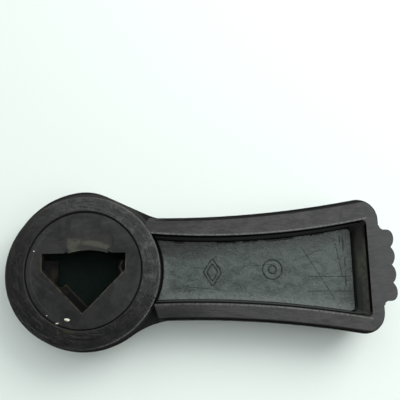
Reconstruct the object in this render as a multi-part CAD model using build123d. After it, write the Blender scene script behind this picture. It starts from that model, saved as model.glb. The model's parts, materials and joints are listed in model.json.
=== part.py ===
from build123d import *
import math
import os

# Window crank handle, modelled underside up, in millimetres.
# The origin is on the drive axis, in the plane of the head's rubbing ring.
# +X runs along the arm, +Z points out of the drive socket.

PAST = 1.0              # how far a cutting shape runs past the face that it opens

# ---- levels, all measured down from the rubbing ring's face ----
RIM_Z = -1.0            # flat rim of the arm
WEB_Z = -4.4            # ledge round the head and in the two notches beside the arm
HOLLOW_FLOOR_Z = -6.8
CUP_FLOOR_Z = -7.1
SHELL_FRONT_Z = -12.0   # plain front face of the shell
FRONT_Z = -15.0         # crests of the reeds and the flat of the head

# ---- head ----
SKIRT_R = 22.95
RING_HALF = (21.75, 21.2)   # the rubbing ring is slightly oval, and off centre in y
RING_SHIFT_Y = -0.45
CUP_R = 16.55
CUP_LEAD_IN = 0.3
FRONT_DISC_R = 17.5
FRONT_DISC_ROUND = 2.4

# ---- arm: waisted, with one large arc along each side ----
ARM_END_X = 84.3
ARM_SIDE = (27.0, 14.4, 295.0)   # waist x, half width there, arc radius
NECK_FILLET = 24.0
NECK_FLAT_X = (2.5, 20.4)   # the +Y side of the head is straight between these
NECK_FLAT_FILLET = 15.0
END_CORNER = 5.8
FRONT_EDGE_ROUND = 5.0
ARM_ROOT_X = 15.0        # inside the head
RIM_START = ((19.5, 16.0), (17.2, 12.6), (19.7, -9.2), (21.7, -15.6))   # the rim's end beside the ring
RIM_EDGE_ROUND = 0.8

# ---- cored-out hollow: waist x, half width there and arc radius of each side, at the rim ----
HOLLOW_UPPER_SIDE = (39.0, 9.05, 215.0)
HOLLOW_LOWER_SIDE = (27.0, 9.55, 300.0)
HOLLOW_UPPER_DRAFT = 1.45
HOLLOW_LOWER_DRAFT = 0.65
HOLLOW_START_X = 16.9    # inside the head, which closes this end
HOLLOW_RIM_END_X = 80.7
HOLLOW_FLOOR_END_X = 77.7
HOLLOW_CORNER = 1.2

# ---- reeded band on the front, which ends in the scallops ----
REEDS = 4
REED_PITCH = 5.0
SCALLOP_R = 3.6
SCALLOP_TIP_X = 88.1
BAND_HALF = REEDS * REED_PITCH / 2
BAND_START_X = 12.0
BAND_TOP_Z = -8.0
BLOCK_START_X = 82.0
BAND_END_ROUND = 4.0
SCALLOP_EDGE_ROUND = 1.8
SCALLOP_ROOT_FILLET = 1.2

# ---- hub insert and its five-sided socket ----
INSERT_R = 16.5
INSERT_FACE_Z = -0.4
INSERT_EDGE = 0.35
SOCKET_HALF = 11.8
SOCKET_FLAT_Y = 4.75
SOCKET_POINT_Y = -12.0
SOCKET_DRAFT_Y = 1.5
ARCH_HALF = 7.0
ARCH_RISE = 1.3
ARCH_R = (ARCH_HALF ** 2 + ARCH_RISE ** 2) / (2 * ARCH_RISE)
ARCH_CENTRE_X = 1.2
ARCH_CENTRE_Y = SOCKET_FLAT_Y + ARCH_RISE - ARCH_R
POCKET_TOP_Z = -1.7     # a lip this thick covers the pockets that hold the clip
POCKET_HALF = 12.3
POCKET_IN_X = 6.5
POCKET_Y = (-4.8, 5.3)

# ---- drive pins ----
PIN_R = 1.5
PIN_TOP_Z = -4.4
PIN_BOTTOM_Z = -9.8
PIN_CIRCLE_R = 12.3
PIN_ANGLES = (90, 225, 315)
PIN_GAP = 0.02

# ---- retaining clip ----
STRIP = 0.45
CLIP_GAP = 0.05
CLIP_TOP_Z = -1.85
CLIP_BOTTOM_Z = -6.5
RAIL_BOTTOM_Z = -2.9
RAIL_START_Y = -3.4
BRIDGE_HALF = 5.6
TAB_HALF = 6.8
TAB_START_Y = 5.9
TAB_END_Y = 10.0
TAB_CORNER = 1.5
TAB_GAP = 0.03
FOOT_HALF = 5.0
FOOT_END_Y = 8.5
FOOT_RELIEF = 0.2

# ---- sprung tongues ----
TONGUE_PIVOT = (11.9, -3.3)   # x and z of the bend line
TONGUE_TIP = (9.0, -5.9)
TONGUE_BEND_R = 0.28
TONGUE_TIP_R = 0.36
TONGUE_THICK = 0.4
TONGUE_Y = (-3.4, 2.9)


def prism(face, low_z, high_z):
    """A flat XY face made solid from one height to another."""
    return Pos(0, 0, low_z) * extrude(face, amount=high_z - low_z)


def waisted_y(x, waist_x, half, radius):
    """Half width at x of a shape whose side is an arc that bows inwards."""
    return half + radius - math.sqrt(radius ** 2 - (x - waist_x) ** 2)


def waisted_face(start_x, end_x, upper, lower, corner):
    """Two inward-bowed sides and two straight ends, with the corners at the far end rounded."""
    middle_x = (start_x + end_x) / 2
    edges = []
    for side, shape in ((1, upper), (-1, lower)):
        edges.append(ThreePointArc(*[(x, side * waisted_y(x, *shape)) for x in (start_x, middle_x, end_x)]))
    for x in (start_x, end_x):
        edges.append(Line((x, -waisted_y(x, *lower)), (x, waisted_y(x, *upper))))
    face = make_face(edges)
    return fillet([v for v in face.vertices() if v.X > middle_x], corner)


def arm_face(start_x):
    """The arm in plan."""
    return waisted_face(start_x, ARM_END_X, ARM_SIDE, ARM_SIDE, END_CORNER)


def drafted(side, draft):
    """A hollow's side moved in by its draft."""
    waist_x, half, radius = side
    return waist_x, half - draft, radius + draft


def skirt_face():
    """Outline of the whole lever without its scallops."""
    start_x, end_x = NECK_FLAT_X
    start = (start_x, math.sqrt(SKIRT_R ** 2 - start_x ** 2))
    end = (end_x, waisted_y(end_x, *ARM_SIDE))
    face = arm_face(0) + Circle(SKIRT_R)
    face -= make_face(Polyline(start, end, (end_x, start[1]), close=True))
    face += make_face(Polyline(start, end, (end_x, 0), (start_x, 0), close=True))
    other_end = (end_x, -end[1])
    for place, radius in ((start, NECK_FLAT_FILLET), (end, NECK_FLAT_FILLET), (other_end, NECK_FILLET)):
        face = fillet(face.vertices().sort_by_distance(place)[0], radius)
    return face


def scallop_face():
    """Plan of the reeded band: a long strip that ends in rounded scallops."""
    face = Pos(BAND_START_X, 0) * Rectangle(
        SCALLOP_TIP_X - SCALLOP_R - BAND_START_X, 2 * BAND_HALF, align=(Align.MIN, Align.CENTER))
    for index in range(REEDS):
        y = (index - (REEDS - 1) / 2) * REED_PITCH
        face += Pos(SCALLOP_TIP_X - SCALLOP_R, y) * Circle(SCALLOP_R)
    face = face & Rectangle(SCALLOP_TIP_X, 2 * BAND_HALF, align=(Align.MIN, Align.CENTER))
    tips = [v for v in face.vertices() if v.X > ARM_END_X and abs(v.Y) > BAND_HALF - REED_PITCH / 4]
    return fillet(tips, SCALLOP_EDGE_ROUND)


def rim_face():
    """Plan of the arm's flat rim, cut back slantwise beside the ring."""
    beyond = [(0, RIM_START[-1][1]), (0, RIM_START[0][1])]
    return arm_face(ARM_ROOT_X) - make_face(Polyline(*RIM_START, *beyond, close=True))


def scalloped_end_face():
    """Plan of the scallops, run into the arm's end with a small fillet at each side."""
    face = arm_face(ARM_ROOT_X) + scallop_face()
    roots = [v for v in face.vertices() if abs(v.X - ARM_END_X) + abs(abs(v.Y) - BAND_HALF) < SCALLOP_R / 4]
    return fillet(roots, SCALLOP_ROOT_FILLET) & Pos(BLOCK_START_X, 0) * Rectangle(
        SCALLOP_TIP_X, 2 * (BAND_HALF + SCALLOP_ROOT_FILLET), align=(Align.MIN, Align.CENTER))


def band_profile():
    """Cross-section of the reeded band in the YZ plane, extruded along X."""
    crest_z = FRONT_Z + SCALLOP_R
    face = Pos(0, (crest_z + RIM_Z) / 2) * Rectangle(2 * BAND_HALF, RIM_Z - crest_z)
    for index in range(REEDS):
        y = (index - (REEDS - 1) / 2) * REED_PITCH
        face += Pos(y, crest_z) * Circle(SCALLOP_R)
    solid = extrude(face, amount=SCALLOP_TIP_X)
    return Rot(0, 90, 0) * Rot(0, 0, 90) * solid


def band_side():
    """Side view of the band in the XZ plane: low under the hollow, full height at the block."""
    outline = Polyline(
        (BAND_START_X, FRONT_Z), (SCALLOP_TIP_X, FRONT_Z), (SCALLOP_TIP_X, RIM_Z),
        (BLOCK_START_X, RIM_Z), (BLOCK_START_X, BAND_TOP_Z), (BAND_START_X, BAND_TOP_Z), close=True)
    face = make_face(outline)
    front_corner = [v for v in face.vertices() if v.X > ARM_END_X and v.Y < BAND_TOP_Z]
    face = fillet(front_corner, BAND_END_ROUND)
    return Rot(90, 0, 0) * extrude(face, amount=BAND_HALF, both=True)


def reeded_band():
    return prism(scallop_face(), FRONT_Z, RIM_Z) & band_profile() & band_side()


def hollow():
    """The cored-out hollow of the arm, with drafted sides and a sloping end."""
    rim = waisted_face(HOLLOW_START_X, HOLLOW_RIM_END_X, HOLLOW_UPPER_SIDE, HOLLOW_LOWER_SIDE, HOLLOW_CORNER)
    floor = waisted_face(HOLLOW_START_X, HOLLOW_FLOOR_END_X, drafted(HOLLOW_UPPER_SIDE, HOLLOW_UPPER_DRAFT),
                         drafted(HOLLOW_LOWER_SIDE, HOLLOW_LOWER_DRAFT), HOLLOW_CORNER)
    lower_part = loft([Pos(0, 0, HOLLOW_FLOOR_Z) * floor, Pos(0, 0, RIM_Z) * rim], ruled=True)
    return lower_part + prism(rim, RIM_Z, PAST)


def pin_places():
    return [Pos(PIN_CIRCLE_R * math.cos(math.radians(a)), PIN_CIRCLE_R * math.sin(math.radians(a)))
            for a in PIN_ANGLES]


def pins(gap=0.0):
    length = PIN_TOP_Z - PIN_BOTTOM_Z + 2 * gap
    pin = Pos(0, 0, PIN_BOTTOM_Z - gap) * extrude(Circle(PIN_R + gap), amount=length)
    return [place * pin for place in pin_places()]


def lever_body():
    shell = prism(skirt_face(), SHELL_FRONT_Z, WEB_Z)
    shell = fillet(shell.faces().sort_by(Axis.Z)[0].edges(), FRONT_EDGE_ROUND)
    rim = prism(rim_face(), SHELL_FRONT_Z + FRONT_EDGE_ROUND, RIM_Z)
    outer_edges = [e for e in rim.faces().sort_by(Axis.Z)[-1].edges() if e.center().X > RIM_START[-1][0]]
    shell += fillet(outer_edges, RIM_EDGE_ROUND)
    shell += prism(scalloped_end_face(), SHELL_FRONT_Z + FRONT_EDGE_ROUND, RIM_Z)
    shell += reeded_band()
    disc = Pos(0, 0, FRONT_Z) * extrude(Circle(FRONT_DISC_R), amount=BAND_TOP_Z - FRONT_Z)
    disc_edge = disc.edges().sort_by(Axis.Z)[0]
    shell += fillet(disc_edge, FRONT_DISC_ROUND)
    shell -= hollow()
    shell += prism(Pos(0, RING_SHIFT_Y) * Ellipse(*RING_HALF), BAND_TOP_Z, 0)
    shell -= prism(Circle(CUP_R), CUP_FLOOR_Z, PAST)
    lead_in = Pos(0, 0, -CUP_LEAD_IN) * Cone(
        CUP_R, CUP_R + CUP_LEAD_IN, CUP_LEAD_IN, align=(Align.CENTER, Align.CENTER, Align.MIN))
    shell -= lead_in
    for pin_hole in pins(PIN_GAP):
        shell -= pin_hole
    return shell


def socket_face(rise=0.0):
    """The five-sided socket in plan; rise lifts the V sides towards the flat."""
    return make_face(Polyline(
        (-SOCKET_HALF, SOCKET_FLAT_Y), (-SOCKET_HALF, rise), (0, SOCKET_POINT_Y + rise),
        (SOCKET_HALF, rise), (SOCKET_HALF, SOCKET_FLAT_Y), close=True))


def arch_face():
    """The shallow arch above the socket's flat, where the clip's bridge lies."""
    above_flat = Pos(ARCH_CENTRE_X, SOCKET_FLAT_Y) * Rectangle(2 * ARCH_HALF, 2 * ARCH_RISE)
    return Pos(ARCH_CENTRE_X, ARCH_CENTRE_Y) * Circle(ARCH_R) & above_flat


def clip_pockets():
    """Undercut behind the socket's lip: one slot along the flat and one room in each corner."""
    low_y, high_y = POCKET_Y
    face = Pos(0, high_y) * Rectangle(
        2 * POCKET_HALF, high_y - SOCKET_FLAT_Y + PAST, align=(Align.CENTER, Align.MAX))
    for side in (1, -1):
        face += Pos(side * (POCKET_IN_X + POCKET_HALF) / 2, (low_y + high_y) / 2) * Rectangle(
            POCKET_HALF - POCKET_IN_X, high_y - low_y)
    return prism(face, CUP_FLOOR_Z, POCKET_TOP_Z)


def hub_insert():
    insert = prism(Circle(INSERT_R), CUP_FLOOR_Z, INSERT_FACE_Z)
    insert = chamfer(insert.edges().sort_by(Axis.Z)[-1], INSERT_EDGE)
    socket = loft([Pos(0, 0, CUP_FLOOR_Z) * socket_face(SOCKET_DRAFT_Y),
                   Pos(0, 0, INSERT_FACE_Z) * socket_face()], ruled=True)
    insert -= socket
    insert -= prism(arch_face(), CUP_FLOOR_Z, INSERT_FACE_Z)
    insert -= clip_pockets()
    foot_slot = Pos(ARCH_CENTRE_X, SOCKET_FLAT_Y) * Rectangle(
        2 * (FOOT_HALF + FOOT_RELIEF), FOOT_END_Y + FOOT_RELIEF - SOCKET_FLAT_Y,
        align=(Align.CENTER, Align.MIN))
    insert -= prism(foot_slot, CUP_FLOOR_Z, CUP_FLOOR_Z + STRIP + FOOT_RELIEF)
    for pin_hole in pins(PIN_GAP):
        insert -= pin_hole
    return insert


def drive_pins():
    return Compound(children=pins())


def beyond_bridge(half, start_y, end_y):
    """A flat plate that starts at the bridge's inner face and lies away from the socket."""
    plate = Pos(ARCH_CENTRE_X, start_y) * Rectangle(
        2 * half, end_y - start_y, align=(Align.CENTER, Align.MIN))
    return plate - Pos(ARCH_CENTRE_X, ARCH_CENTRE_Y) * Circle(ARCH_R - CLIP_GAP - STRIP)


def retaining_clip():
    """Curved bridge in the arch, tab over the face, foot under the disc, and a rail in each corner."""
    ring = Circle(ARCH_R - CLIP_GAP) - Circle(ARCH_R - CLIP_GAP - STRIP)
    window = Pos(ARCH_CENTRE_X, SOCKET_FLAT_Y) * Rectangle(2 * BRIDGE_HALF, 4 * ARCH_RISE)
    bridge = Pos(ARCH_CENTRE_X, ARCH_CENTRE_Y) * ring & window
    tab_low_z = INSERT_FACE_Z + TAB_GAP
    foot_low_z = CUP_FLOOR_Z + TAB_GAP
    clip = prism(bridge, foot_low_z, tab_low_z + STRIP / 2)
    tab = beyond_bridge(BRIDGE_HALF, SOCKET_FLAT_Y, TAB_END_Y)
    tab += beyond_bridge(TAB_HALF, TAB_START_Y, TAB_END_Y)
    tab = fillet(tab.vertices().sort_by(Axis.Y)[-2:], TAB_CORNER)
    clip += prism(tab, tab_low_z, tab_low_z + STRIP / 2)
    clip += prism(beyond_bridge(FOOT_HALF, SOCKET_FLAT_Y, FOOT_END_Y), foot_low_z, foot_low_z + STRIP)
    outer_x = POCKET_HALF - 3 * CLIP_GAP
    outer_y = POCKET_Y[1] - CLIP_GAP
    for side in (1, -1):
        inner_x = ARCH_CENTRE_X + side * (BRIDGE_HALF - STRIP)
        straight = Pos((inner_x + side * outer_x) / 2, outer_y - STRIP / 2) * Rectangle(
            abs(side * outer_x - inner_x), STRIP)
        clip += prism(straight, CLIP_BOTTOM_Z, CLIP_TOP_Z)
        rail = Pos(side * (outer_x - STRIP / 2), RAIL_START_Y) * Rectangle(
            STRIP, outer_y - RAIL_START_Y, align=(Align.CENTER, Align.MIN))
        clip += prism(rail, RAIL_BOTTOM_Z, CLIP_TOP_Z)
    return clip


def clip_tongue(side):
    """Sprung leaf hanging from a side rail, slanting in towards the socket's floor."""
    (bend_x, bend_z), (tip_x, tip_z) = TONGUE_PIVOT, TONGUE_TIP
    slope = math.degrees(math.atan2(tip_z - bend_z, tip_x - bend_x))
    length = math.dist(TONGUE_PIVOT, TONGUE_TIP)
    leaf = Pos(bend_x, bend_z) * Rot(0, 0, slope) * Rectangle(
        length, TONGUE_THICK, align=(Align.MIN, Align.CENTER))
    profile = leaf + Pos(bend_x, bend_z) * Circle(TONGUE_BEND_R) + Pos(tip_x, tip_z) * Circle(TONGUE_TIP_R)
    tongue = Pos(0, TONGUE_Y[1], 0) * Rot(90, 0, 0) * extrude(profile, amount=TONGUE_Y[1] - TONGUE_Y[0])
    return tongue if side > 0 else mirror(tongue, about=Plane.YZ)


def main():
    os.makedirs("parts", exist_ok=True)
    shapes = {
        "lever_body": lever_body(),
        "hub_insert": hub_insert(),
        "drive_pins": drive_pins(),
        "retaining_clip": retaining_clip(),
        "clip_tongue_left": clip_tongue(-1),
        "clip_tongue_right": clip_tongue(1),
    }
    for node, shape in shapes.items():
        export_step(shape, f"parts/{node}.step")


main()
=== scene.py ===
import json
import math
import random
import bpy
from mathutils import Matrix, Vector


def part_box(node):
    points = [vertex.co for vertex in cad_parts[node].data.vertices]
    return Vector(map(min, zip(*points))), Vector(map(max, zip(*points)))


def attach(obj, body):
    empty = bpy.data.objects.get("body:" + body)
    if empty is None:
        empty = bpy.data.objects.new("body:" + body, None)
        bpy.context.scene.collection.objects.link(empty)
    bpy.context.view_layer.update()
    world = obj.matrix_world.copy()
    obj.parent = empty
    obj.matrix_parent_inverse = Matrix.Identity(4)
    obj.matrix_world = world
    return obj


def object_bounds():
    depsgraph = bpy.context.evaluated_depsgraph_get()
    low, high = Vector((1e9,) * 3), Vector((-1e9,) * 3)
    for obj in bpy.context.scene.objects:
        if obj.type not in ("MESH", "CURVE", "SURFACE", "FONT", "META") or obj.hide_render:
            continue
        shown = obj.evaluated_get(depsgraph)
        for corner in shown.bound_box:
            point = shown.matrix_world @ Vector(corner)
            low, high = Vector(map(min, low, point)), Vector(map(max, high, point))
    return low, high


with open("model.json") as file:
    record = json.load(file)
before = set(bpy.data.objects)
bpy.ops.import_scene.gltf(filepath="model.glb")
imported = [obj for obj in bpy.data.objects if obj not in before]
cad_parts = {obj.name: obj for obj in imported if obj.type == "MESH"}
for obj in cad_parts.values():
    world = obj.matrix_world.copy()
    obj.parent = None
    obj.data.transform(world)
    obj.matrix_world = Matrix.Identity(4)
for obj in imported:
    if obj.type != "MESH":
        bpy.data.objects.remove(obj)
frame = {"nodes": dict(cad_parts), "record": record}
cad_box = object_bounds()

from types import SimpleNamespace

import bmesh
import bpy
from mathutils import Vector

MM = 0.001
SEED = 41

# ---- camera, floor, lamp and room ----
CAMERA_PLACE = Vector((0.0328, -0.0009, 0.1275))
CAMERA_TILT = math.radians(9)
CAMERA_ROLL = math.radians(-1.0)
CAMERA_LENS = 40.5
CAMERA_SENSOR = 36
CAMERA_CLIP = 0.005
FLOOR_SIZE = 1.6
FLOOR_CENTRE_X = 0.03
LAMP_PLACE = Vector((0.31, 0.28, 0.30))
LAMP_SIZE = 0.30
LAMP_WATTS = 1.75
CEILING_STRENGTH = 1.62     # bright side of the room, seen high up
HORIZON_STRENGTH = 0.42
BACKDROP_STRENGTH = 0.86    # what the camera itself sees past the floor

# ---- places read from the frame, in metres ----
INSERT_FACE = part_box("hub_insert")[1].z
openings = {opening["name"]: opening["box_m"] for opening in frame["record"]["physics"]["openings"]}
hollow_low, hollow_high = (Vector(corner) for corner in openings["arm_hollow"])

# ---- the lever's faces, in millimetres ----
RIM_Z = -1.0
FLOOR_Z = -6.8
RING_REACH = 21.75          # half length of the oval rubbing ring
RING_OVAL = 1.053           # square of its half length over its half height
RING_SHIFT_Y = -0.45
CUP_RADIUS = 16.55
TAB_MIDDLE_X = 1.2          # middle of the clip's arched tab

# Sides of the arm and of its hollow: each is an arc whose distance from the middle line is
# half + (x - waist)^2 / bend. The three numbers are waist, half and bend.
ARM_SIDE = (27.0, 14.4, 600.0)
HOLLOW_LOWER_RIM = (27.0, 9.55, 600.0)
HOLLOW_UPPER_RIM = (39.0, 9.05, 430.0)
HOLLOW_UPPER_FOOT_Y = 7.6   # where the drafted upper wall meets the floor, at its waist

# ---- small marks ----
# Scratches on the hollow's floor: start, end (shares of the opening's length and width), width in mm.
FLOOR_SCRATCHES = [
    ((0.74, 0.92), (0.91, -0.08), 0.13),
    ((0.78, 0.34), (1.00, 0.33), 0.10),
    ((0.77, 0.07), (1.00, 0.06), 0.12),
    ((0.93, 0.95), (0.96, 0.30), 0.10),
    ((0.69, 0.62), (0.86, 0.86), 0.07),
    ((0.42, 0.55), (0.58, 0.58), 0.07),
    ((0.10, 0.20), (0.30, 0.12), 0.08),
]

# Moulding flash: runs along the upper wall (start and end x in metres), and across the floor
# (x, low and high y, as shares of the opening).
UPPER_FLASH = [(0.0250, 0.0285), (0.0375, 0.0445), (0.0455, 0.0505), (0.0520, 0.0610), (0.0655, 0.0700)]
END_FLASH = [(0.975, 0.12, 0.42), (0.978, 0.50, 0.71), (0.972, 0.78, 1.08), (0.955, 0.95, 1.12)]
FLASH_STEP = 0.28 * MM

# Paint specks: centre, half length, half width in mm, turn in degrees.
SPECKS = [((-4.15, -13.5), 0.92, 0.42, -8), ((-6.9, -14.45), 0.56, 0.17, 8),
          ((-9.8, -12.3), 0.20, 0.14, 30), ((-14.1, 5.5), 0.22, 0.16, 0)]
SPECK_HEIGHT = 0.11
SPECK_SINK = 0.03           # how far a speck's edge is sunk into the disc's face


# ------------------------------------------------------------------ node helpers
class Nodes:
    """Adds nodes to a tree; each call gives the new node's output."""

    def __init__(self, tree):
        self.tree = tree

    def add(self, kind, inputs=None, output=0, **settings):
        node = self.tree.nodes.new(kind)
        for name, value in settings.items():
            setattr(node, name, value)
        for key, value in (inputs or {}).items():
            if isinstance(value, bpy.types.NodeSocket):
                self.tree.links.new(value, node.inputs[key])
            else:
                node.inputs[key].default_value = value
        return node.outputs[output]

    def math(self, operation, first, second=0.0):
        return self.add("ShaderNodeMath", {0: first, 1: second}, operation=operation)

    def plus(self, first, second):
        return self.math("ADD", first, second)

    def minus(self, first, second):
        return self.math("SUBTRACT", first, second)

    def times(self, *values):
        total = values[0]
        for value in values[1:]:
            total = self.math("MULTIPLY", total, value)
        return total

    def most(self, *values):
        total = values[0]
        for value in values[1:]:
            total = self.math("MAXIMUM", total, value)
        return total

    def size(self, value):
        return self.math("ABSOLUTE", value)

    def invert(self, value):
        return self.minus(1.0, value)

    def length(self, x, y, y_factor=1.0):
        """Distance of (x, y) from the origin, with y's square weighted."""
        return self.math("SQRT", self.plus(self.times(x, x), self.times(y, y, y_factor)))

    def step(self, value, low, high, out_low=0.0, out_high=1.0):
        """Smooth step from out_low to out_high as value goes from low to high."""
        if low > high:
            low, high, out_low, out_high = high, low, out_high, out_low
        return self.add("ShaderNodeMapRange", {
            "Value": value, "From Min": low, "From Max": high, "To Min": out_low, "To Max": out_high,
        }, interpolation_type="SMOOTHSTEP")

    def band(self, value, low, high, soft):
        """1 between low and high, falling to 0 over soft outside them."""
        rising = self.step(value, low - soft, low)
        return self.times(rising, self.step(value, high + soft, high))

    def vector(self, x=0.0, y=0.0, z=0.0):
        return self.add("ShaderNodeCombineXYZ", {"X": x, "Y": y, "Z": z})

    def split(self, vector):
        return [self.add("ShaderNodeSeparateXYZ", {0: vector}, output=i) for i in range(3)]

    def scaled(self, vector, scale):
        return self.add("ShaderNodeVectorMath", {0: vector, 1: scale}, operation="MULTIPLY")

    def dot(self, first, second):
        return self.add("ShaderNodeVectorMath", {0: first, 1: second}, operation="DOT_PRODUCT", output=1)

    def noise(self, vector, scale=1.0, detail=3.0, rough=0.55, warp=0.0):
        return self.add("ShaderNodeTexNoise", {
            "Vector": vector, "Scale": scale, "Detail": detail, "Roughness": rough, "Distortion": warp})

    def mix(self, factor, first, second):
        return self.add("ShaderNodeMix", {0: factor, 6: first, 7: second}, output=2, data_type="RGBA")

    def level(self, factor, first, second):
        return self.add("ShaderNodeMix", {0: factor, 2: first, 3: second}, output=0, data_type="FLOAT")

    def bump(self, height, distance, strength):
        return self.add("ShaderNodeBump", {"Height": height, "Distance": distance, "Strength": strength})


def rgb(red, green, blue):
    return (red, green, blue, 1.0)


# Near-black: the phenolic's own dark skin in the ring's blotches, and painted shade on the wall lines, the
# ring's side and foot and the arm's outline.
BLACK_SKIN_AND_SHADE = rgb(.0012, .0012, .0011)


def new_material(name):
    material = bpy.data.materials.new(name)
    material.use_nodes = True
    shader = material.node_tree.nodes["Principled BSDF"]
    return material, Nodes(material.node_tree), shader


def link_surface(n, shader, colour, rough, relief, depth, strength):
    """Feeds the shader its colour, its roughness and a relief of the given depth in metres."""
    n.tree.links.new(colour, shader.inputs["Base Color"])
    n.tree.links.new(rough, shader.inputs["Roughness"])
    n.tree.links.new(n.bump(relief, depth, strength), shader.inputs["Normal"])


def place_in_mm(n):
    """The point on the piece in millimetres, and its x, y and z."""
    point = n.scaled(n.add("ShaderNodeTexCoord", output=3), (1 / MM, 1 / MM, 1 / MM))
    return point, *n.split(point)


def edge_mask(n, radius_mm, low=0.02, high=0.25):
    """1 on sharp edges, from how far a rounded normal leans from the plain one."""
    rounded = n.add("ShaderNodeBevel", {"Radius": radius_mm * MM}, samples=6)
    plain = n.add("ShaderNodeNewGeometry", output=1)
    return n.step(n.invert(n.dot(rounded, plain)), low, high)


def crevice_mask(n):
    """1 deep in corners, 0 on open faces."""
    open_sky = n.add("ShaderNodeAmbientOcclusion", {"Distance": 0.9 * MM}, output=1, samples=8)
    return n.step(open_sky, 0.85, 0.35)


def arc_gap(n, x, away, side):
    """How far a point lies outside one of the side arcs, if away is its distance from the middle line."""
    waist, half, bend = side
    from_waist = n.minus(x, waist)
    return n.minus(n.minus(away, half), n.times(from_waist, from_waist, 1 / bend))


def scratch(n, point, start, end, width_mm):
    """1 on one thin straight scratch between two points of the hollow's floor, in millimetres."""
    along = end - start
    offset = n.add("ShaderNodeVectorMath", {0: point, 1: start}, operation="SUBTRACT")
    share = n.dot(offset, along / along.length_squared)
    share = n.math("MINIMUM", n.most(share, 0.0), 1.0)
    nearest = n.scaled(n.vector(share, share, share), along)
    gap = n.add("ShaderNodeVectorMath", {0: offset, 1: nearest}, operation="DISTANCE", output=1)
    return n.step(gap, width_mm, width_mm * 0.3)


def on_hollow_floor(share_x, share_y):
    """A point of the hollow's floor in millimetres, from its shares of the opening's length and width."""
    return Vector((hollow_low.x + share_x * (hollow_high.x - hollow_low.x),
                   hollow_low.y + share_y * (hollow_high.y - hollow_low.y), FLOOR_Z * MM)) / MM


# ------------------------------------------------------------------ the lever's material
def shell_places(n):
    """The lever's faces as masks, and the measures that its marks follow, in millimetres."""
    point, x, y, z = place_in_mm(n)
    facing_x, _, facing_up = n.split(n.add("ShaderNodeNewGeometry", output=1))
    faces_up = n.step(facing_up, 0.82, 0.96)
    steep = n.step(facing_up, 0.7, 0.5)
    radius = n.length(x, y)
    ring_radius = n.length(x, n.minus(y, RING_SHIFT_Y), RING_OVAL)
    return SimpleNamespace(
        point=point, x=x, y=y, z=z, radius=radius, ring_radius=ring_radius, steep=steep,
        inside_side=n.times(arc_gap(n, x, n.size(y), ARM_SIDE), -1.0),
        past_upper_rim=arc_gap(n, x, y, HOLLOW_UPPER_RIM),
        past_lower_rim=arc_gap(n, x, n.times(y, -1.0), HOLLOW_LOWER_RIM),
        on_ring=n.times(faces_up, n.step(z, -0.3, -0.1), n.step(radius, 22.6, 22.0)),
        on_floor=n.times(faces_up, n.band(z, FLOOR_Z - 0.2, FLOOR_Z + 0.4, 0.3), n.step(x, 17.0, 18.0)),
        on_rim=n.times(faces_up, n.band(z, RIM_Z - 0.15, RIM_Z + 0.15, 0.1)),
        in_socket=n.times(n.step(radius, CUP_RADIUS + 0.25, CUP_RADIUS + 0.05), n.step(z, -5.0, -6.0)),
        on_ledge=n.times(n.band(z, -4.9, -3.9, 0.3), faces_up, n.step(radius, 21.8, 22.4)),
        on_wall=n.times(steep, n.band(z, FLOOR_Z, RIM_Z, 0.2), n.band(x, 17.0, 81.5, 0.5),
                        n.step(n.size(y), 14.0, 13.2)),
        closes_hollow=n.step(facing_x, -0.40, -0.62),
        lit_side=n.step(n.plus(n.times(x, 0.6), y), -6.0, 16.0),
    )


def shell_grains(n, f):
    """The noises that the lever's faces share; around runs in circles about the drive axis."""
    cosine, sine = n.math("DIVIDE", f.x, f.radius), n.math("DIVIDE", f.y, f.radius)

    def around(across, along):
        return n.vector(n.times(f.radius, across), n.times(cosine, along), n.times(sine, along))

    return SimpleNamespace(
        grain=n.noise(f.point, 2.4, detail=3.0, rough=0.7),
        streaks=n.noise(n.scaled(f.point, (0.22, 0.9, 0.9)), detail=6.0, rough=0.7, warp=0.6),
        blotches=n.noise(around(0.50, 4.6), detail=7.0, rough=0.66, warp=0.5),
        rubs=n.noise(around(1.5, 2.4), detail=5.0, rough=0.7, warp=0.4),
        haze=n.noise(n.scaled(f.point, (0.30, 0.42, 0.4)), detail=7.0, rough=0.72, warp=0.5),
        fine_haze=n.noise(f.point, 1.3, detail=5.0, rough=0.7, warp=0.5),
    )


def rim_colour(n, f, g, shade_near_head):
    """Streaky worn rim, with a light crest of painted highlight and rubbed wear beside the hollow, and
    painted shade towards the head and along the outer edge.
    """
    colour = n.mix(n.step(g.streaks, 0.40, 0.62), rgb(.0062, .0057, .0055), rgb(.0225, .0212, .0206))
    light_spots = n.step(n.noise(f.point, 0.32, detail=5.0), 0.5, 0.64)
    colour = n.mix(n.times(light_spots, 0.55), colour, rgb(.031, .0295, .0285))
    dark_spots = n.step(n.noise(f.point, 0.9, detail=4.0), 0.54, 0.64)
    colour = n.mix(n.times(dark_spots, 0.5), colour, rgb(.0065, .0062, .0060))
    colour = n.mix(n.times(n.step(f.x, 80.0, 84.0), 0.6), colour, rgb(.023, .0272, .0262))
    lower_middle = n.times(n.band(f.x, 38.0, 60.0, 8.0), n.step(f.y, -4.0, -8.0))
    colour = n.mix(n.times(lower_middle, 0.4), colour, rgb(.027, .0275, .0268))
    # Painted highlight and rubbed wear: a light crest along the hollow's rims.
    beside_hollow = n.most(*(n.band(gap, 0.2, 0.45, 0.15) for gap in (f.past_upper_rim, f.past_lower_rim)))
    crest_highlight_and_wear = n.times(beside_hollow, n.step(f.x, 81.0, 80.5), n.step(g.fine_haze, 0.36, 0.56, 0.1, 1.0))
    colour = n.mix(n.times(crest_highlight_and_wear, 0.9), colour, rgb(.110, .109, .105))
    # Painted shade: darker towards the head.
    colour = n.mix(n.times(shade_near_head, 0.9), colour, rgb(.0040, .0039, .0037))
    # Painted shade: darker along the arm's outer edge.
    return n.mix(n.times(n.step(f.inside_side, 1.5, 0.5), 0.6), colour, rgb(.0075, .0072, .0070))


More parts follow.
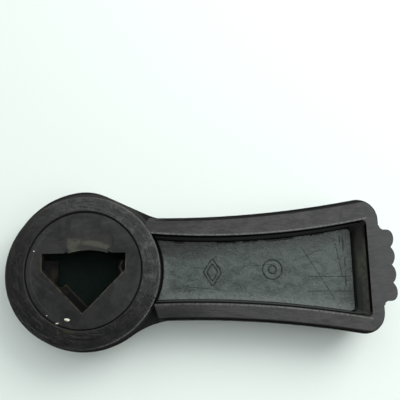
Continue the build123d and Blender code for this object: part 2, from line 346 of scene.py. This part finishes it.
def ring_colour(n, f, g):
    """Rubbed ring: dark blotches, circular rub marks, patches lightened as painted highlight on the side
    towards the window, and a light edge of painted highlight and chipped wear.
    """
    colour = n.mix(n.step(g.blotches, 0.36, 0.66), BLACK_SKIN_AND_SHADE, rgb(.0080, .0078, .0075))
    colour = n.mix(n.times(n.step(g.rubs, 0.5, 0.66), 0.7), colour, rgb(.019, .0178, .0165))
    patches = n.noise(f.point, 0.34, detail=7.0, rough=0.68, warp=0.35)
    # Painted highlight: patches lightened on the side towards the window.
    colour = n.mix(n.times(f.lit_side, n.step(patches, 0.48, 0.60), 0.75), colour, rgb(.030, .0302, .0296))
    # Painted highlight: the brightest patches, on the lit side towards the right.
    patch_highlight = n.times(f.lit_side, n.step(patches, 0.54, 0.60), n.step(f.x, 6.0, 13.0))
    colour = n.mix(n.times(patch_highlight, 0.7), colour, rgb(.052, .053, .051))
    colour = n.mix(n.times(n.step(patches, 0.46, 0.38), 0.6), colour, rgb(.0010, .0010, .0010))
    # Painted highlight and chipped wear: a light band along the ring's edge, strongest on the right.
    edge = n.step(f.ring_radius, RING_REACH - 0.55, RING_REACH - 0.3)
    edge = n.times(edge, n.step(g.fine_haze, 0.36, 0.52))
    colour = n.mix(n.times(edge, n.step(f.x, -4.0, 14.0, 0.12, 0.9)), colour, rgb(.075, .077, .072))
    smear = n.times(n.band(f.x, -6.4, -2.2, 0.8), n.band(f.y, -16.9, -15.9, 0.3), n.step(g.rubs, 0.42, 0.52))
    return n.mix(n.times(smear, 0.7), colour, rgb(.048, .045, .018))


def floor_colour(n, f, g):
    """Glossy hazy floor of the hollow: painted light beside the ring and the lower wall, painted shade with
    ragged flakes under the upper one, and dark smudges and grime.
    """
    def grime_and_shade(scale, rough, low, high, detail=5.0):
        return n.step(n.noise(n.scaled(f.point, scale), detail=detail, rough=rough), low, high)

    colour = n.mix(n.step(g.haze, 0.38, 0.62), rgb(.022, .0335, .0305), rgb(.060, .080, .075))
    colour = n.mix(n.times(n.step(g.fine_haze, 0.52, 0.7), 0.6), colour, rgb(.085, .103, .096))
    # Painted light: lighter beside the ring and along the lower wall.
    near_ring = n.times(n.step(f.radius, 25.5, 22.5), n.step(f.y, 6.5, 3.0))
    near_lower_foot = n.step(f.past_lower_rim, -3.95, -0.95)
    painted_light = n.times(n.most(near_ring, near_lower_foot), n.step(g.fine_haze, 0.34, 0.56, 0.25, 0.8))
    colour = n.mix(painted_light, colour, rgb(.120, .138, .130))
    # Painted shade under the upper wall, joined with dark smudges on the left of the floor.
    shaded = n.times(n.step(f.y, 1.0, 5.6), n.step(f.x, 40.0, 30.0), n.step(g.streaks, 0.34, 0.52, 0.45, 1.0))
    smudges = n.times(grime_and_shade((0.9, 0.28, 0.5), 0.7, 0.56, 0.68), n.step(f.x, 44.0, 30.0, 0.35, 1.0))
    colour = n.mix(n.times(n.most(shaded, smudges), 0.85), colour, rgb(.008, .0125, .0112))
    # Painted shade: ragged dark flakes along the upper wall.
    flakes = n.times(grime_and_shade((0.8, 1.3, 0.5), 0.75, 0.47, 0.55), n.step(f.y, 3.6, 6.6),
                     n.step(f.x, 50.0, 34.0, 0.4, 1.0))
    colour = n.mix(n.times(flakes, 0.9), colour, rgb(.0020, .0028, .0026))
    grime = n.times(grime_and_shade((0.5, 0.7, 0.5), 0.7, 0.47, 0.58, detail=6.0), n.step(f.x, 38.0, 24.0),
                    n.step(f.y, -2.0, 5.0, 0.25, 1.0))
    return n.mix(n.times(grime, 0.8), colour, rgb(.010, .015, .0138))


def wall_colour(n, f, g, black_shade_line):
    """The hollow's walls: painted light bands at half depth, between painted shade lines at the rim and the
    foot.
    """
    colour = n.mix(n.step(g.grain, 0.4, 0.65), rgb(.0042, .0042, .0037), rgb(.014, .0135, .0110))
    # Painted light: lighter bands across the end wall and the lower and upper walls.
    end_band_light = n.times(f.closes_hollow, n.step(f.y, 9.6, 5.0), n.band(f.z, -4.2, -2.5, 1.9))
    colour = n.mix(n.times(end_band_light, n.step(g.streaks, 0.3, 0.6, 0.4, 1.0)), colour, rgb(.100, .100, .080))
    lower_band_light = n.times(n.step(f.y, -2.0, -5.0), n.band(f.z, -5.2, -4.0, 0.4))
    colour = n.mix(n.times(lower_band_light, n.step(g.grain, 0.3, 0.5, 0.5, 1.0)), colour, rgb(.042, .048, .045))
    upper_band_light = n.times(n.step(f.y, 2.0, 5.0), n.band(f.z, -4.6, -2.9, 0.6))
    upper_band_light = n.times(upper_band_light, n.step(g.grain, 0.35, 0.55, 0.5, 1.0))
    colour = n.mix(upper_band_light, colour, rgb(.040, .0412, .0385))
    return n.mix(black_shade_line, colour, BLACK_SKIN_AND_SHADE)


def wall_shade_lines(n, f):
    """1 on the painted shade lines of the hollow's walls: black at the rim and the foot."""
    along_side = n.invert(f.closes_hollow)
    below = n.times(n.step(f.z, -3.8, -3.2), n.step(f.y, -2.0, -5.0), along_side)
    above = n.times(n.step(f.z, -3.2, -2.6), n.step(f.y, 2.0, 5.0), along_side)
    foot = n.times(n.step(f.z, -5.7, -6.2), n.step(f.x, 78.0, 77.0, 0.4, 1.0))
    return n.times(n.most(below, above, foot, n.step(f.z, -2.0, -1.6)), f.on_wall)


def shell_material():
    """Dark brown phenolic: rubbed ring, worn streaky rim, glossy pitted hollow, with painted light and shade
    on all three.
    """
    material, n, shader = new_material("phenolic_shell")
    f = shell_places(n)
    g = shell_grains(n, f)
    black_shade_line = wall_shade_lines(n, f)
    shade_near_head = n.times(n.step(f.x, 40.0, 26.0), n.step(f.y, 4.0, -4.0, 0.3, 1.0),
                        n.step(f.inside_side, 5.0, 2.0, 0.4, 1.0))
    # Painted shade: the ring's side facing the hollow, and a line round its foot, kept black.
    ring_side_shade = n.times(f.steep, n.step(f.ring_radius, RING_REACH + 0.35, RING_REACH + 0.15),
                        n.step(f.z, -0.5, -0.9), n.step(f.x, 12.0, 16.0), n.step(n.size(f.y), 10.6, 9.6))
    ring_foot_shade = n.times(f.on_floor, n.step(f.ring_radius, RING_REACH + 0.65, RING_REACH + 0.25))
    # Painted shade: the arm's outer side, kept black.
    outline_shade = n.times(n.step(f.inside_side, 1.2, 0.8), n.step(f.z, -2.4, -1.8), n.step(f.x, 19.0, 24.0),
                      n.step(f.x, 86.0, 80.0))
    pits = n.step(n.noise(f.point, 1.15, detail=2.0), 0.715, 0.74)
    scratches = 0.0
    for start, end, width in FLOOR_SCRATCHES:
        line = scratch(n, f.point, on_hollow_floor(*start), on_hollow_floor(*end), width)
        scratches = n.most(scratches, line)
    scratches = n.times(scratches, n.step(g.grain, 0.3, 0.6, 0.3, 1.0))

    mottle = n.noise(f.point, 0.13, detail=5.0, rough=0.6)
    colour = n.mix(n.step(mottle, 0.35, 0.65), rgb(.0050, .0046, .0044), rgb(.0085, .0080, .0077))
    colour = n.mix(f.on_rim, colour, rim_colour(n, f, g, shade_near_head))
    colour = n.mix(f.on_ring, colour, ring_colour(n, f, g))
    colour = n.mix(f.on_wall, colour, wall_colour(n, f, g, black_shade_line))
    colour = n.mix(f.on_floor, colour, floor_colour(n, f, g))
    colour = n.mix(n.most(ring_side_shade, ring_foot_shade, n.times(outline_shade, 0.8)), colour, BLACK_SKIN_AND_SHADE)
    colour = n.mix(f.on_ledge, colour, rgb(.0040, .0038, .0036))
    # Painted shade with dark oily residue on the socket's floor.
    socket_oil_and_shade = n.mix(n.step(g.haze, 0.4, 0.6), rgb(.0060, .0145, .0118), rgb(.0085, .0170, .0140))
    colour = n.mix(f.in_socket, colour, socket_oil_and_shade)
    near_faces = n.most(n.step(f.z, -2.0, -1.2), n.step(f.z, -13.0, -14.3))
    worn = n.times(edge_mask(n, 0.30), n.step(g.fine_haze, 0.44, 0.62), near_faces, n.invert(f.on_wall))
    colour = n.mix(n.times(worn, 0.75), colour, rgb(.090, .086, .079))
    colour = n.mix(n.times(scratches, f.on_floor, 0.6), colour, rgb(.016, .021, .019))
    # Painted shade with grime: darker in crevices and corners.
    grime_and_shade = n.times(crevice_mask(n), n.invert(n.times(f.on_floor, n.step(f.y, 3.0, 0.0), 0.75)))
    colour = n.mix(n.times(grime_and_shade, 0.9), colour, rgb(.0025, .0028, .0026))
    colour = n.mix(n.times(pits, f.on_floor, 0.8), colour, rgb(.008, .010, .009))

    rough = n.level(f.on_rim, 0.60, n.step(g.streaks, 0.3, 0.7, 0.40, 0.30))
    rough = n.level(f.on_ring, rough, n.step(g.blotches, 0.38, 0.62, 0.40, 0.20))
    rough = n.level(f.on_floor, rough, n.step(g.haze, 0.35, 0.7, 0.26, 0.40))
    rough = n.level(f.on_wall, rough, 0.62)
    rough = n.most(rough, n.times(n.most(grime_and_shade, f.in_socket, f.on_ledge), 0.9))

    # Painted shade: Metallic with a near-black colour takes the surface's sheen away, so a line stays black;
    # it darkens the socket, the wall lines, the ring's side and foot, the arm's outline, the ring away from
    # its lit side and the rim near the head.
    dullness_and_shade = n.most(n.times(f.in_socket, 0.8), n.times(n.most(black_shade_line, ring_side_shade, ring_foot_shade), 0.9),
                  n.times(outline_shade, 0.75),
                  n.times(f.on_ring, n.invert(f.lit_side), n.step(g.blotches, 0.30, 0.62, 0.46, 0.16)),
                  n.times(f.on_rim, shade_near_head, 0.22))
    n.tree.links.new(dullness_and_shade, shader.inputs["Metallic"])

    relief = n.plus(n.times(g.grain, 0.3), n.times(g.streaks, f.on_rim, 0.5))
    relief = n.plus(relief, n.times(n.plus(g.blotches, n.times(g.rubs, 0.6)), f.on_ring))
    relief = n.plus(relief, n.times(n.plus(g.haze, n.times(g.fine_haze, 0.5)), f.on_floor, 1.2))
    relief = n.minus(relief, n.times(n.most(scratches, pits), f.on_floor, 0.7))
    link_surface(n, shader, colour, rough, relief, 0.16 * MM, 1.0)
    shader.inputs["IOR"].default_value = 1.58
    return material


# ------------------------------------------------------------------ the other materials
def insert_material():
    """Fabric-filled phenolic: dull, faintly cloth-grained, browned along the socket's edges, with painted
    shade in its corners and towards its lower left.
    """
    material, n, shader = new_material("phenolic_insert")
    point, x, y, z = place_in_mm(n)
    radius = n.length(x, y)
    below_face = n.step(z, -0.75, -1.2)
    cloud = n.noise(point, 0.16, detail=6.0, rough=0.65, warp=0.6)
    grain = n.noise(point, 2.6, detail=3.0, rough=0.7)
    wipes = n.noise(n.scaled(point, (0.16, 0.75, 0.8)), detail=5.0, rough=0.7, warp=0.9)
    slant = n.add("ShaderNodeVectorRotate", {"Vector": point, "Angle": math.radians(38)},
                  rotation_type="Z_AXIS")
    slant_wipes = n.noise(n.scaled(slant, (0.14, 0.8, 0.8)), detail=5.0, rough=0.65, warp=0.5)
    weave = n.add("ShaderNodeTexWave", {
        "Vector": n.scaled(point, (1.0, 1.0, 0.2)), "Scale": 1.1, "Distortion": 1.2, "Detail": 2.0}, output=1)

    colour = n.mix(n.step(cloud, 0.36, 0.66), rgb(.0062, .0065, .0063), rgb(.0160, .0162, .0156))
    wiped_above = n.times(n.step(wipes, 0.50, 0.68), n.step(y, 4.0, 8.0))
    colour = n.mix(n.times(wiped_above, 0.65), colour, rgb(.031, .0305, .0295))
    wiped_below = n.times(n.step(slant_wipes, 0.52, 0.7), n.step(y, 3.0, -2.0))
    colour = n.mix(n.times(wiped_below, 0.65), colour, rgb(.028, .0275, .0265))
    walls = n.mix(n.step(grain, 0.4, 0.65), rgb(.0015, .0019, .0017), rgb(.0050, .0047, .0043))
    colour = n.mix(below_face, colour, walls)
    socket_edges = n.times(edge_mask(n, 0.70, 0.01, 0.16), n.step(radius, 15.2, 14.2), n.step(y, 4.0, 3.0))
    browned = n.times(socket_edges, n.step(n.noise(point, 0.8, detail=3.0), 0.36, 0.54))
    colour = n.mix(n.times(browned, 0.9), colour, rgb(.100, .082, .056))
    draft_foot = n.times(n.band(z, -6.6, -5.7, 0.35), n.step(y, -2.5, -5.0), n.step(x, 1.0, 0.0))
    colour = n.mix(n.times(draft_foot, n.step(grain, 0.36, 0.5, 0.5, 1.0)), colour, rgb(.030, .029, .025))
    rust_noise = n.noise(n.scaled(point, (1.0, 1.0, 0.35)), 0.6, detail=4.0)
    rust = n.times(n.band(x, -9.5, -5.0, 1.0), n.band(y, -6.0, 0.0, 1.0), below_face,
                   n.step(rust_noise, 0.46, 0.62))
    colour = n.mix(n.times(rust, 0.8), colour, rgb(.026, .0175, .0115))
    rim_edge = n.times(edge_mask(n, 0.25, 0.02, 0.2), n.step(radius, 15.8, 16.2), n.step(grain, 0.42, 0.6))
    colour = n.mix(n.times(rim_edge, 0.35), colour, rgb(.065, .063, .058))
    second_arc = n.times(n.band(n.plus(radius, n.times(wipes, 0.5)), 15.02, 15.16, 0.14),
                         n.step(x, -6.0, -11.0), n.step(z, -0.8, -0.5), n.step(grain, 0.38, 0.55))
    colour = n.mix(n.times(second_arc, 0.5), colour, rgb(.060, .060, .056))
    chip = n.times(n.band(x, 8.2, 12.3, 0.5), n.band(y, 4.6, 5.7, 0.35), n.step(wipes, 0.42, 0.5))
    colour = n.mix(n.times(chip, 0.8), colour, rgb(.0035, .0037, .0035))
    # Painted shade: darker in corners and crevices.
    colour = n.mix(n.times(crevice_mask(n), 0.8), colour, rgb(.0030, .0032, .0030))

    rough = n.most(n.step(cloud, 0.36, 0.64, 0.60, 0.40), n.times(below_face, 0.85))
    # Painted shade: duller and darker towards the disc's lower left.
    low_left_shade = n.step(n.plus(n.times(x, 0.6), y), 0.0, -12.0)
    dullness_and_shade = n.plus(n.step(cloud, 0.36, 0.60, 0.16, 0.02), n.times(low_left_shade, 0.12))
    n.tree.links.new(n.level(below_face, dullness_and_shade, 0.50), shader.inputs["Metallic"])
    relief = n.plus(n.plus(n.times(grain, 0.35), n.times(wipes, 0.6)), n.times(weave, 0.35))
    link_surface(n, shader, colour, rough, relief, 0.07 * MM, 0.8)
    shader.inputs["IOR"].default_value = 1.50
    return material


def spring_material():
    """Thin spring strip, tarnished olive-brown with rust and lighter rub lines, and painted glints on the
    right tongue's edges.
    """
    material, n, shader = new_material("spring_steel")
    point, x, y, z = place_in_mm(n)
    from_middle = n.minus(x, TAB_MIDDLE_X)
    inside = n.step(z, -0.9, -1.6)
    tarnish = n.noise(point, 0.22, detail=5.0, rough=0.65, warp=0.8)
    rubs = n.noise(n.scaled(point, (0.20, 0.85, 1.2)), detail=4.0, rough=0.6, warp=0.7)
    rust_noise = n.noise(n.scaled(point, (1.0, 0.45, 1.0)), 0.55, detail=6.0, rough=0.7, warp=0.3)
    rust = n.times(n.step(rust_noise, 0.42, 0.60), inside, n.band(x, -10.2, -8.6, 0.8), n.step(y, 1.8, -0.6))

    colour = n.mix(n.step(tarnish, 0.38, 0.6), rgb(.0135, .0138, .0120), rgb(.0215, .0215, .0178))
    left_patch = n.times(n.band(x, -5.6, -1.4, 0.9), n.band(y, 4.0, 8.6, 0.8),
                         n.step(n.noise(point, 0.5, detail=5.0), 0.38, 0.58))
    along_arch = n.plus(y, n.times(from_middle, from_middle, 0.035))
    right_streak = n.times(n.band(along_arch, 7.0, 7.9, 0.7), n.step(x, -1.5, 1.0), n.step(rubs, 0.34, 0.5))
    colour = n.mix(n.times(n.most(left_patch, right_streak), 0.8), colour, rgb(.062, .062, .046))
    colour = n.mix(n.times(n.step(rubs, 0.54, 0.66), 0.5), colour, rgb(.050, .049, .040))
    tab_middle = n.times(n.step(n.size(from_middle), 6.9, 5.2), n.step(y, 10.2, 8.6))
    colour = n.mix(n.invert(tab_middle), colour, rgb(.0125, .0127, .0120))
    colour = n.mix(inside, colour, n.mix(rust, rgb(.0022, .0022, .0020), rgb(.019, .0125, .0090)))
    # Rubbed edges, with painted glints brightest on the right tongue's edges.
    right_side = n.step(x, -2.0, 2.0, 0.1, 0.8)
    rubbed_edge_and_glint = n.times(edge_mask(n, 0.16, 0.02, 0.3), n.step(rubs, 0.42, 0.55),
                          n.step(z, -0.6, -1.5, 0.15, right_side))
    colour = n.mix(rubbed_edge_and_glint, colour, rgb(.13, .125, .11))
    # Painted glint: a bright wavy line on the right tongue's bent edge.
    wavy_x = n.plus(x, n.times(n.math("SINE", n.times(y, 1.9)), 0.30))
    bent_edge_glint = n.times(n.band(wavy_x, 9.6, 10.0, 0.3), n.band(y, -1.6, 2.4, 0.5), inside)
    colour = n.mix(n.times(bent_edge_glint, n.step(rubs, 0.36, 0.52, 0.4, 0.9)), colour, rgb(.11, .105, .088))

    n.tree.links.new(n.step(inside, 0.0, 1.0, 0.15, 0.50), shader.inputs["Metallic"])
    relief = n.plus(n.times(rubs, 0.5), n.times(rust, rust_noise))
    link_surface(n, shader, colour, n.level(n.most(rust, inside), 0.52, 0.8), relief, 0.08 * MM, 0.8)
    return material


def mark_material():
    """The shell's phenolic where the moulded lines have kept their dark skin."""
    material, n, shader = new_material("phenolic_moulded_line")
    point, _, _, z = place_in_mm(n)
    rubbed = n.step(n.noise(point, 0.9, detail=4.0), 0.46, 0.62)
    on_top = n.step(z, FLOOR_Z + 0.12, FLOOR_Z + 0.22)
    colour = n.mix(n.times(rubbed, on_top), rgb(.0065, .0095, .0088), rgb(.040, .052, .048))
    rough = n.step(rubbed, 0.0, 1.0, 0.5, 0.3)
    link_surface(n, shader, colour, rough, n.noise(point, 2.4, detail=3.0), 0.05 * MM, 0.6)
    shader.inputs["IOR"].default_value = 1.58
    return material


def dowel_material():
    """Ground steel with fine turning rings and faint oil stains."""
    material, n, shader = new_material("dowel_steel")
    point, _, _, z = place_in_mm(n)
    rings = n.noise(n.vector(z=n.times(z, 9.0)), detail=3.0)
    stain = n.noise(point, 0.6, detail=4.0)
    colour = n.mix(n.step(stain, 0.4, 0.7), rgb(.48, .48, .49), rgb(.30, .27, .23))
    shader.inputs["Metallic"].default_value = 1.0
    link_surface(n, shader, colour, n.step(rings, 0.3, 0.7, 0.22, 0.38), rings, 0.02 * MM, 0.6)
    return material


def paint_material():
    """Old white paint, slightly yellowed, with a chalky surface."""
    material, n, shader = new_material("paint_speck_white")
    patches = n.noise(place_in_mm(n)[0], 2.6, detail=3.0)
    colour = n.mix(n.step(patches, 0.35, 0.65), rgb(.78, .75, .66), rgb(.52, .48, .38))
    link_surface(n, shader, colour, n.step(patches, 0.3, 0.7, 0.55, 0.8), patches, 0.05 * MM, 0.6)
    return material


def backdrop_material():
    """Plain pale matt floor."""
    material, _, shader = new_material("backdrop")
    shader.inputs["Base Color"].default_value = rgb(.80, .86, .835)
    shader.inputs["Roughness"].default_value = 0.9
    shader.inputs["Specular IOR Level"].default_value = 0.1
    return material


# ------------------------------------------------------------------ CAD nodes
def dress_cad(node, material, bevel_mm):
    """Gives a CAD node its material, and rounds its edges as a mould or a press leaves them."""
    piece = frame["nodes"][node]
    piece.data.materials.clear()
    piece.data.materials.append(material)
    weld = piece.modifiers.new("weld", "WELD")
    weld.merge_threshold = 1e-6
    bevel = piece.modifiers.new("edge_rounding", "BEVEL")
    bevel.width = bevel_mm * MM
    bevel.segments = 2
    bevel.limit_method = "ANGLE"
    bevel.angle_limit = math.radians(32)
    bevel.use_clamp_overlap = True


# ------------------------------------------------------------------ modelled pieces
def new_piece(name, body, material, mesh_builder):
    mesh = bpy.data.meshes.new(name)
    shape = bmesh.new()
    mesh_builder(shape)
    bmesh.ops.recalc_face_normals(shape, faces=shape.faces)
    shape.to_mesh(mesh)
    shape.free()
    for polygon in mesh.polygons:
        polygon.use_smooth = True
    piece = bpy.data.objects.new(name, mesh)
    bpy.context.scene.collection.objects.link(piece)
    mesh.materials.append(material)
    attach(piece, body)


def ridge_along(shape, points, section, closed):
    """Sweeps a flat section (across, up) along points that lie on the hollow's floor."""
    rings = []
    count = len(points)
    for index, point in enumerate(points):
        before = points[index - 1] if closed or index else point
        after = points[(index + 1) % count] if closed or index < count - 1 else point
        along = (after - before).normalized()
        across = Vector((-along.y, along.x, 0))
        scale = 1.0 if closed else end_taper(index, count)
        rings.append([shape.verts.new(point + across * a * scale + Vector((0, 0, up * scale)))
                      for a, up in section])
    for index in range(count if closed else count - 1):
        first, second = rings[index], rings[(index + 1) % count]
        for k in range(len(section)):
            m = (k + 1) % len(section)
            shape.faces.new((first[k], first[m], second[m], second[k]))
    if not closed:
        shape.faces.new(rings[0])
        shape.faces.new(rings[-1])


def end_taper(index, count):
    """Scale of an open ridge's section: smaller over the last three points at each end."""
    nearness = min(index, count - 1 - index) / 3
    return max(0.25, min(1.0, nearness))


def raised_line(half_width, height):
    """Section of a moulded line: a low bead whose foot is sunk into the floor."""
    sink = -0.06 * MM
    return [(-half_width, sink), (half_width, sink), (half_width * 0.8, height * 0.6),
            (0.0, height), (-half_width * 0.8, height * 0.6)]


def lozenge(centre, half_x, half_y):
    """A diamond with slightly rounded corners."""
    corner_share, corner_steps = 0.16, 5
    corners = [Vector((half_x, 0, 0)), Vector((0, half_y, 0)),
               Vector((-half_x, 0, 0)), Vector((0, -half_y, 0))]
    points = []
    for index, corner in enumerate(corners):
        before, after = corners[index - 1], corners[(index + 1) % 4]
        start, end = corner.lerp(before, corner_share), corner.lerp(after, corner_share)
        for k in range(corner_steps + 1):
            t = k / corner_steps
            points.append(centre + start * (1 - t) ** 2 + corner * 2 * t * (1 - t) + end * t ** 2)
        for t in (0.33, 0.66):
            points.append(centre + end.lerp(after.lerp(corner, corner_share), t))
    return points


def circle(centre, radius, steps):
    angles = [2 * math.pi * k / steps for k in range(steps)]
    return [centre + Vector((math.cos(angle), math.sin(angle), 0)) * radius for angle in angles]


def mould_marks(material):
    """Two plain moulded marks on the hollow's floor: a double lozenge, and a double ring."""
    length = hollow_high.x - hollow_low.x
    middle_y = (hollow_high.y + hollow_low.y) / 2
    first = Vector((hollow_low.x + 0.261 * length, middle_y - 0.7 * MM, FLOOR_Z * MM))
    second = Vector((hollow_low.x + 0.584 * length, middle_y - 0.2 * MM, FLOOR_Z * MM))
    line = raised_line(0.20 * MM, 0.24 * MM)

    def lozenges(shape):
        ridge_along(shape, lozenge(first, 2.75 * MM, 4.1 * MM), line, True)
        ridge_along(shape, lozenge(first, 1.65 * MM, 2.6 * MM), line, True)

    def rings(shape):
        ridge_along(shape, circle(second, 2.85 * MM, 48), line, True)
        ridge_along(shape, circle(second, 1.15 * MM, 28), line, True)

    new_piece("mould_mark_lozenge", "lever", material, lozenges)
    new_piece("mould_mark_ring", "lever", material, rings)


def upper_foot_y(x):
    """Where the hollow's upper wall meets the floor at x, in metres."""
    waist, _, bend = HOLLOW_UPPER_RIM
    return HOLLOW_UPPER_FOOT_Y * MM + (x - waist * MM) ** 2 / (bend * MM)


def flash_ridges(material):
    """Ragged moulding flash along the foot of the hollow's upper wall, and across its far end."""
    rng = random.Random(SEED)
    section = [(-0.22 * MM, -0.08 * MM), (0.26 * MM, -0.08 * MM), (0.12 * MM, 0.22 * MM),
               (-0.05 * MM, 0.27 * MM), (-0.16 * MM, 0.13 * MM)]
    low_section = [(across, up * 0.55) for across, up in section]

    def along_wall(shape):
        for start, end in UPPER_FLASH:
            steps = int((end - start) / FLASH_STEP)
            points = []
            for k in range(steps + 1):
                x = start + (end - start) * k / steps
                points.append(Vector((x, upper_foot_y(x) - rng.uniform(0.05, 0.45) * MM, FLOOR_Z * MM)))
            ridge_along(shape, points, section, False)

    def across_end(shape):
        wander = 0.09 * MM
        for share_x, low, high in END_FLASH:
            start, end = on_hollow_floor(share_x, low) * MM, on_hollow_floor(share_x, high) * MM
            steps = int((end - start).length / FLASH_STEP)
            side = Vector((start.y - end.y, end.x - start.x, 0)).normalized()
            points = [start.lerp(end, k / steps) + side * rng.uniform(-wander, wander)
                      for k in range(steps + 1)]
            ridge_along(shape, points, low_section, False)

    new_piece("flash_along_wall", "lever", material, along_wall)
    new_piece("flash_across_end", "lever", material, across_end)


def paint_specks(material):
    """Small splashes of old paint on the disc: low domes with a wavering outline."""
    rng = random.Random(SEED + 1)
    rings, spokes = 4, 14

    def speck_ring(shape, speck, share):
        (x, y), half_length, half_width, turn = speck
        c, s = math.cos(math.radians(turn)), math.sin(math.radians(turn))
        up = SPECK_HEIGHT * (1 - share ** 2) - (SPECK_SINK if share == 1 else 0)
        verts = []
        for k in range(spokes):
            angle = 2 * math.pi * k / spokes
            wobble = 1 + rng.uniform(-0.16, 0.16) * share
            a = half_length * share * wobble * math.cos(angle)
            b = half_width * share * wobble * math.sin(angle)
            place = ((x + a * c - b * s) * MM, (y + a * s + b * c) * MM, INSERT_FACE + up * MM)
            verts.append(shape.verts.new(place))
        return verts

    def blobs(shape):
        for speck in SPECKS:
            x, y = speck[0]
            top = shape.verts.new((x * MM, y * MM, INSERT_FACE + SPECK_HEIGHT * MM))
            previous = None
            for ring in range(1, rings + 1):
                verts = speck_ring(shape, speck, ring / rings)
                for k in range(spokes):
                    m = (k + 1) % spokes
                    if previous is None:
                        shape.faces.new((top, verts[k], verts[m]))
                    else:
                        shape.faces.new((previous[k], verts[k], verts[m], previous[m]))
                previous = verts
            shape.faces.new(previous)

    new_piece("paint_specks", "lever", material, blobs)


# ------------------------------------------------------------------ studio
def place_camera(scene):
    lens = bpy.data.cameras.new("camera")
    lens.lens = CAMERA_LENS
    lens.sensor_width = CAMERA_SENSOR
    lens.clip_start = CAMERA_CLIP
    camera = bpy.data.objects.new("camera", lens)
    camera.location = CAMERA_PLACE
    camera.rotation_euler = (CAMERA_TILT, 0, CAMERA_ROLL)
    scene.collection.objects.link(camera)
    scene.camera = camera


def place_floor():
    bpy.ops.mesh.primitive_plane_add(size=FLOOR_SIZE, location=(FLOOR_CENTRE_X, 0, cad_box[0].z))
    floor = bpy.context.object
    floor.name = "floor"
    floor.data.materials.append(backdrop_material())


def light_room(scene):
    """A pale room whose ceiling is bright on one side, as from a wide window."""
    world = bpy.data.worlds.new("soft_room")
    scene.world = world
    world.use_nodes = True
    n = Nodes(world.node_tree)
    east, north, up = n.split(n.add("ShaderNodeTexCoord", output=0))
    lean = n.plus(n.times(east, 0.75), n.times(north, 1.1))
    overhead = n.step(lean, -0.165, 0.02, 0.0, CEILING_STRENGTH)
    strength = n.level(n.step(up, 0.30, 0.66), HORIZON_STRENGTH, overhead)
    seen_by_camera = n.add("ShaderNodeLightPath")
    strength = n.level(seen_by_camera, strength, BACKDROP_STRENGTH)
    background = world.node_tree.nodes["Background"]
    background.inputs["Color"].default_value = rgb(.96, 1.0, .985)
    world.node_tree.links.new(strength, background.inputs["Strength"])


def place_lamp(scene):
    """A soft lamp at the window's side, which shows in no gloss."""
    lamp = bpy.data.lights.new("window_light", "AREA")
    lamp.size = LAMP_SIZE
    lamp.energy = LAMP_WATTS
    lamp.color = (1.0, 1.0, 0.985)
    holder = bpy.data.objects.new("window_light", lamp)
    middle = (cad_box[0] + cad_box[1]) / 2
    holder.location = LAMP_PLACE
    holder.rotation_euler = (middle - LAMP_PLACE).to_track_quat("-Z", "Y").to_euler()
    holder.visible_glossy = False
    scene.collection.objects.link(holder)


# ------------------------------------------------------------------ the object and its studio
shell = shell_material()
spring = spring_material()
dress_cad("lever_body", shell, 0.35)
dress_cad("hub_insert", insert_material(), 0.16)
for strip in ("retaining_clip", "clip_tongue_left", "clip_tongue_right"):
    dress_cad(strip, spring, 0.06)
dress_cad("drive_pins", dowel_material(), 0.15)
mould_marks(mark_material())
flash_ridges(shell)
paint_specks(paint_material())

bpy.context.scene.view_settings.view_transform = "Standard"
place_camera(bpy.context.scene)
place_floor()
light_room(bpy.context.scene)
place_lamp(bpy.context.scene)
